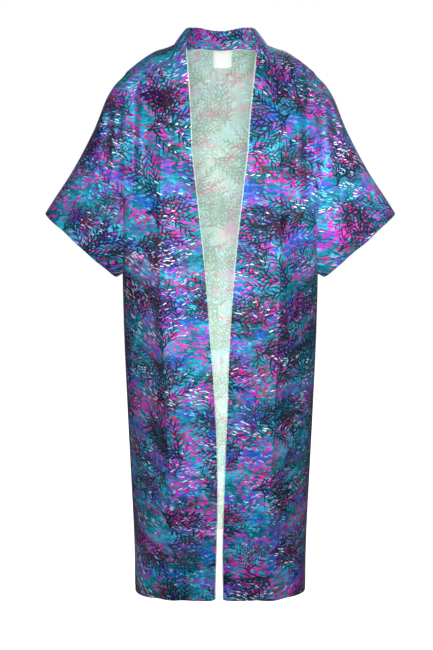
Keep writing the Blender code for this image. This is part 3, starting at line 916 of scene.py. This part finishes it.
def thinShell(name, grid, places, normal, materials, seams=(), hemRows=(),
              thickness=panel["clothThickness"]):
    # Closed thin wall of cloth: the right side out, the wrong side in.
    # Each seam is an axis of the grid and the end of it, 0 or -1, where the cloth is sunk.
    outward = np.sum(normal * unitNormals(grid)) > 0
    outer = grid.copy()
    for axis, end in seams:
        lines = outer.swapaxes(0, axis)
        way = unit(lines[-2 if end else 1] - lines[end])
        lines[end] += way * panel["seamInset"] - normal.swapaxes(0, axis)[end] * panel["seamDip"]
    depth = np.full(grid.shape[:2], thickness)
    depth[list(hemRows)] += panel["hemThickness"]
    inner = outer - normal * depth[..., None]
    rows, columns = grid.shape[:2]
    count = rows * columns
    faces = gridFaces(rows, columns, not outward)
    number = np.arange(count).reshape(rows, columns)
    rim = []
    for line in (number[0], number[:, -1], number[-1, ::-1], number[::-1, 0]):
        a, b = line[:-1], line[1:]
        quads = np.stack([b, a, a + count, b + count], 1)
        rim.append(quads if outward else quads[:, ::-1])
    allFaces = np.concatenate([faces, faces[:, ::-1] + count, *rim])
    index = np.zeros(len(allFaces), np.int32)
    index[len(faces) : 2 * len(faces)] = 1
    points = np.concatenate([outer.reshape(-1, 3), inner.reshape(-1, 3)])
    flat = places.reshape(-1, 2)
    return addMesh(name, points, np.concatenate([flat, flat]), allFaces.tolist(), index, materials)


def area(grid):
    a = np.cross(grid[:-1, 1:] - grid[:-1, :-1], grid[1:, :-1] - grid[:-1, :-1])
    b = np.cross(grid[:-1, 1:] - grid[1:, 1:], grid[1:, :-1] - grid[1:, 1:])
    return (np.linalg.norm(a, axis=-1).sum() + np.linalg.norm(b, axis=-1).sum()) / 2


def lineLength(line):
    return float(np.linalg.norm(np.diff(line, axis=0), axis=1).sum())


def declareSheet(piece, node, flat, cutArea):
    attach(piece, "root")
    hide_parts(node)
    print(piece.name, "flat", [round(v, 3) for v in flat], "area", round(cutArea, 4))


# Where each piece was cut from the print.
printShift = {
    "front_left": (0.42, 0.27),
    "front_right": (1.62, 0.71),
    "back": (3.05, 0.4),
    "neckband": (4.71, 1.62),
}
chestRow = fineness["low"] + fineness["arm"]
hemRow = panel["hemDepth"]


def panelPiece(node, smoothGrid, side, column, flatRow, flatColumn, materials):
    # A front or the back: the print is laid out from one column, and the cut size is
    # taken along a row and a column.
    grid = drape(smoothGrid)
    normal = unitNormals(grid) * side
    places = clothPlaces(smoothGrid, column, chestRow, side) + np.array(printShift[node])
    piece = thinShell(node + "_panel", grid, places, normal, materials,
                      ((1, 0), (1, -1), (0, -1)), range(hemRow + 1))
    flat = (lineLength(smoothGrid[flatRow]), lineLength(smoothGrid[:, flatColumn]))
    declareSheet(piece, node, flat, area(smoothGrid))
    return grid, normal, places


def sleeveEnd(side, around):
    # The open end of a sleeve: a slanting oval that bows out a little at front and back.
    tip, corner = np.array(cuff["tip"]), np.array(cuff["corner"])
    middle, along = (tip + corner) / 2, (tip - corner) / 2
    rise = cuff["rise"] * np.sin(around) ** 2 / math.hypot(*along)
    x = side * (middle[0] + along[0] * np.cos(around) - along[1] * rise)
    z = middle[1] + along[1] * np.cos(around) + along[0] * rise
    return np.stack([x, -cuff["halfDepth"] * np.sin(around), z], 1)


def sleevePiece(name, side, frontPlaces, materials):
    # Rows from the armhole out to the hem, each from the underarm up the front and down the back.
    node = "sleeve_" + name
    low = fineness["low"]
    frontHalf = halfPanel(side, -1)[low:, -1]
    ring = np.concatenate([frontHalf, halfPanel(side, 1)[low:, -1][-2::-1]])
    half = len(frontHalf) - 1
    up, down = walkAlong(ring[: half + 1]), walkAlong(ring[half:])
    around = math.pi * np.concatenate([1 - up / up[-1], -down[1:] / down[-1]])
    end = sleeveEnd(side, around)
    outward = np.array((side * cuff["outward"][0], 0.0, cuff["outward"][1]))
    nearFold = np.clip(np.cos(around), 0, 1)[:, None] ** 2
    rows = []
    for k in range(fineness["sleeve"] + 1):
        s = k / fineness["sleeve"]
        bulge = cuff["bulge"] * math.exp(-(((s - cuff["bulgeAt"]) / cuff["bulgeWidth"]) ** 2))
        bulge *= ease(s / cuff["bulgeStart"])
        bulge -= cuff["hollow"] * math.sin(math.pi * s ** cuff["hollowLate"]) ** 2
        rows.append(ring * (1 - s) + end * s + outward * bulge * nearFold)
    smoothGrid = np.array(rows)
    grid = drape(smoothGrid)
    normal = unitNormals(grid)
    if np.sum(normal * (grid - grid.mean((0, 1)))) < 0:
        normal = -normal
    normal[:, 0] = normal[:, -1] = unit(normal[:, 0] + normal[:, -1])
    # soft flutes that grow towards the sleeve hem
    s = np.linspace(0, 1, len(grid))[:, None]
    flutes = np.sin(around * 5 + side * 0.9) + 0.6 * np.sin(around * 9 + 1.7)
    grid = grid + normal * (cuff["flutes"] * s**2 * flutes * np.sin(around) ** 2)[..., None]
    # the print goes on from the front panel, and over the fold to the back
    walked = walkAlong(smoothGrid)
    way = unit((end - ring)[:, [0, 2]])
    start = frontPlaces[low:, -1]
    places = np.zeros((*grid.shape[:2], 2))
    places[:, : half + 1] = start[None] + walked[:, : half + 1, None] * way[None, : half + 1]
    foldWay = way[half]
    across = places[:, half - 1 :: -1] - start[half]
    places[:, half + 1 :] = 2 * (across @ foldWay)[..., None] * foldWay - across + start[half]
    piece = thinShell(node + "_cloth", grid, places, normal, materials, ((0, 0), (1, 0), (1, -1)),
                      [-1 - k for k in range(hemRow + 1)])
    flat = (lineLength(ring), lineLength(smoothGrid[:, half]))
    declareSheet(piece, node, flat, area(grid))
    return grid, normal


def bandLine(side):
    # Seam edge, and the way across the band, from the hem up to the centre back.
    seam = list(halfPanel(side, -1)[:, 0])
    top = fineness["top"]
    rise = [0.0] * (chestRow + 1)
    rise += [band["leanNeck"] * math.sin(math.pi / 2 * k / top) for k in range(1, top + 1)]
    inward = [(-side, 0.0)] * len(seam)
    forward = [math.sin(lean) * band["forward"] for lean in rise]
    count = fineness["neck"] * 4
    for k in range(1, count + 1):
        share = k / count
        angle = math.pi / 2 * share
        seam.append(neckLine(angle) * np.array((side, 1, 1)))
        inward.append((-side * math.cos(angle), -math.sin(angle)))
        rise.append(band["leanNeck"] + (band["leanBack"] - band["leanNeck"]) * share)
        forward.append(math.sin(band["leanNeck"]) * band["forward"] * (1 - share))
    across = [(x * math.cos(lean), y * math.cos(lean) - ahead, math.sin(lean))
              for lean, (x, y), ahead in zip(rise, inward, forward)]
    return np.array(seam), unit(np.array(across))


def bandPiece(materials, frontPlaces):
    # A strip folded double: out from its seam, round the folded edge, and back inside.
    leftSeam, leftAcross = bandLine(-1)
    rightSeam, rightAcross = bandLine(1)
    seam = np.concatenate([leftSeam, rightSeam[-2::-1]])
    across = np.concatenate([leftAcross, rightAcross[-2::-1]])
    # one more row a hair past each shoulder, where the print changes over to the neck's own
    frontRows = len(frontPlaces[-1])
    for k in (frontRows, len(seam) - frontRows):
        seam = np.insert(seam, k, seam[k] + (seam[k - 1] - seam[k]) * band["change"], 0)
        across = np.insert(across, k, across[k], 0)
    normal = unit(np.cross(across, np.gradient(seam, axis=0)))
    if np.sum(normal * seam * np.array((1, 1, 0))) < 0:
        normal = -normal
    walked = walkAlong(seam)
    width = band["width"]
    x, y, z = seam.T
    behind = ease((y - band["dipFrom"]) / band["dipFade"])
    shouldered = np.exp(-(((y - band["trimAt"]) / band["trimLength"]) ** 2)) * (z > shoulder["chest"])
    reaches = width * (1 - band["dip"] * behind * np.cos(x * band["dipNarrow"]) ** 2)
    reaches *= 1 - band["trim"] * shouldered
    pucker = band["pucker"] * sum(np.sin(walked * rate + phase) for rate, phase in band["puckers"])
    facing = band["facing"] * ease((abs(x) - 0.03) / 0.05) * ease((y + 0.02) / 0.03)
    shares = band["shares"]
    last = len(shares) - 1
    profile, places = [], []
    for k in [*range(last + 1), *range(last - 1, -1, -1)]:
        outer = len(profile) <= last
        puff = math.sqrt(1 - (2 * shares[k] - 1) ** 2)
        half = (band["halfThickness"] + band["puff"] * puff) * puff**0.5
        lift = (half if outer else -half) - band["middle"] + pucker * puff
        start = band["tuck"] if outer else np.maximum(band["tuck"], facing)
        point = seam + across * (shares[k] * (reaches + start) - start)[:, None] + normal * lift[:, None]
        point[[0, -1], 2] += band["cornerRise"] * shares[k] ** 8
        profile.append(point)
        reach = shares[k] * width if outer else (2 - shares[k]) * width
        here = np.stack([walked, np.full(len(seam), reach)], 1) + np.array(printShift["neckband"])
        here[:frontRows] = frontPlaces[-1][:, 0] + np.array((reach, 0.0))
        here[-frontRows:] = frontPlaces[1][::-1, 0] - np.array((reach, 0.0))
        places.append(here)
    grid, places = np.stack(profile, 1), np.stack(places, 1)
    rows, columns = grid.shape[:2]
    number = np.arange(rows * columns).reshape(rows, columns)
    closing = np.stack([number[:-1, -1], number[:-1, 0], number[1:, 0], number[1:, -1]], 1)
    # quads that close the two ends across the thickness
    first = [number[0, [k, -1 - k, -2 - k, k + 1]] for k in range(last - 1)]
    final = [number[-1, [k + 1, -2 - k, -1 - k, k]] for k in range(last - 1)]
    allFaces = np.concatenate([gridFaces(rows, columns), closing, first, final])
    # the fold down both fronts takes the pale wrong-side cloth on its outer face, a thin pale line along the
    # free edge
    pale = np.zeros((rows - 1, columns - 1), np.int32)
    pale[grid[:-1, last, 2] < band["paleBelow"], band["paleFrom"] : last + 1] = 1
    index = np.zeros(len(allFaces), np.int32)
    index[: pale.size] = pale.ravel()
    piece = addMesh("neckband_strip", grid.reshape(-1, 3), places.reshape(-1, 2), allFaces.tolist(),
                    index, materials)
    declareSheet(piece, "neckband", (width, lineLength(seam)), width * lineLength(seam))
    return grid, normal


def labelPiece(backGrid, backNormal, material):
    # A small blank woven patch, sewn under the back neck seam.
    middle = backGrid.shape[1] // 2
    near = slice(middle - 6, middle + 7)
    grid = backGrid[-24:, near][::-1]
    normal = backNormal[-24:, near][::-1]
    if grid[0, 0, 0] > grid[0, -1, 0]:
        grid, normal = grid[:, ::-1], normal[:, ::-1]
    across = np.linspace(label["left"], label["right"], 13)
    drops = np.linspace(label["belowSeam"], label["belowSeam"] + label["drop"], 15)
    points, lean = (np.array([pointsAt(across, at, row) for row, at in zip(source, grid[..., 0])])
                    for source in (grid, normal))
    walked = walkAlong(points[:, len(across) // 2])
    points, lean = (np.stack([pointsAt(drops, walked, line) for line in source.swapaxes(0, 1)], 1)
                    for source in (points, lean))
    lean = unit(lean)
    share = np.linspace(0, 1, len(drops))[:, None]
    side = np.linspace(-1, 1, len(across))[None]
    lift = label["clear"] + panel["clothThickness"] + label["belly"] * share**2 * (1 - side**2)
    lift += label["free"] * share**3
    patch = points - lean * lift[..., None]
    places = np.stack(np.meshgrid(across, -drops), 2)
    # its seen side looks into the robe
    piece = thinShell("neck_label_patch", patch, places, -lean, [material, material],
                      thickness=label["thickness"])
    width = label["right"] - label["left"]
    declareSheet(piece, "neck_label", (width, label["drop"]), width * label["drop"])
    return patch, -lean


stitch = {
    # length, gap, half width
    "hem": (0.0024, 0.0012, 0.00032),
    "neckSeam": (0.0022, 0.0005, 0.0009),
    "label": (0.0016, 0.0009, 0.0003),
    "above": 0.0001,  # how far a row of them runs above the cloth
    "neckAbove": 0.0004,
    "dip": 0.0001,  # how far each one's ends dip in
}


def sewn(line, normal, above=stitch["above"]):
    return line + normal * above, normal


def stitches(name, lines, material, size):
    # Short threads laid end to end along the lines, just above the cloth.
    length, gap, width = size
    pace = length + gap
    points, faces = [], []
    for line, normal in lines:
        walked = walkAlong(line)
        for k in range(int(walked[-1] // pace)):
            start = k * pace + gap / 2
            first, last = pointsAt((start, start + length), walked, line)
            middle = (first + last) / 2
            up = normal[min(walked.searchsorted((k + 0.5) * pace), len(normal) - 1)]
            beside = unit(np.cross(up, unit(last - first)))
            base = len(points)
            points.append(first - up * stitch["dip"])
            for end, share, girth in ((first, 0.75, 0.8), (middle, 0, 1.0), (last, 0.75, 0.8)):
                centre = end * share + middle * (1 - share)
                high, wide = up * width * girth, beside * width * girth
                points += [centre + wide, centre + high, centre - wide, centre - high * 0.6]
            points.append(last - up * stitch["dip"])
            for n in range(4):
                m = (n + 1) % 4
                faces.append((base, base + 1 + m, base + 1 + n))
                for ring in (base + 1, base + 5):
                    faces.append((ring + n, ring + m, ring + 4 + m, ring + 4 + n))
                faces.append((base + 9 + n, base + 9 + m, base + 13))
    points = np.array(points)
    made = addMesh(name, points, points[:, [0, 2]], faces, np.zeros(len(faces), np.int32), [material])
    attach(made, "root")
    return made


def buildRobe():
    printed = clothMaterial("printedCloth", printColour, finish["roughness"], finish["raised"])
    wrongSide = clothMaterial("paleWrongSide", insideColour, finish["insideRoughness"],
                              finish["insideRaised"])
    thread = plainMaterial("tealThread", paint(10, 44, 66), 0.8)
    paleThread = plainMaterial("paleThread", paint(240, 244, 240), 0.6)
    # thread of the label's stitches: real stitching, grey as painted shadow along the label's edges
    greyThreadAndShadow = plainMaterial("greyThreadAndShadow", paint(120, 122, 126), 0.6)
    labelCloth = plainMaterial("labelSatin", paint(252, 252, 250), 0.45, 1500.0)
    cloth = [printed, wrongSide]
    print("materials made")

    smoothBack = np.concatenate([halfPanel(-1, 1)[:, :0:-1], halfPanel(1, 1)], 1)
    middle = smoothBack.shape[1] // 2
    backGrid, backNormal, _ = panelPiece("back", smoothBack, -1, middle, fineness["low"] // 2, middle, cloth)
    rows = [sewn(backGrid[hemRow], backNormal[hemRow])]
    frontPlaces = {}
    for side, name in ((-1, "left"), (1, "right")):
        smoothFront = halfPanel(side, -1)
        grid, normal, places = panelPiece("front_" + name, smoothFront, side, fineness["flat"], 0, 0, cloth)
        frontPlaces[side] = places
        rows.append(sewn(grid[hemRow], normal[hemRow]))
        grid, normal = sleevePiece(name, side, places, cloth)
        rows.append(sewn(grid[-1 - hemRow], normal[-1 - hemRow]))
    print("panels and sleeves made")

    bandGrid, bandNormal = bandPiece(cloth, frontPlaces)
    rows.append(sewn(bandGrid[:, 2], bandNormal))
    patch, patchNormal = labelPiece(backGrid, backNormal, labelCloth)
    within = bandGrid[:, -1, 1] > band["tapeBehind"]
    tape = [sewn(bandGrid[within, -1], -bandNormal[within], stitch["neckAbove"])]
    stitches("neck_seam_stitches", tape, paleThread, stitch["neckSeam"])
    edges = [(patch[1], patchNormal[1]), (patch[:, 1], patchNormal[:, 1]), (patch[:, -2], patchNormal[:, -2])]
    stitches("hem_and_band_stitches", rows, thread, stitch["hem"])
    # grey stitches round the label, partly painted shadow along its edges
    stitches("label_stitches", edges, greyThreadAndShadow, stitch["label"])
    print("neckband, label and stitches made")


for makeGroup in (petalGroup, sprigGroup, groundGroup, printGroup, weaveGroup):
    makeGroup()
setCamera()
setRoom()
buildRobe()
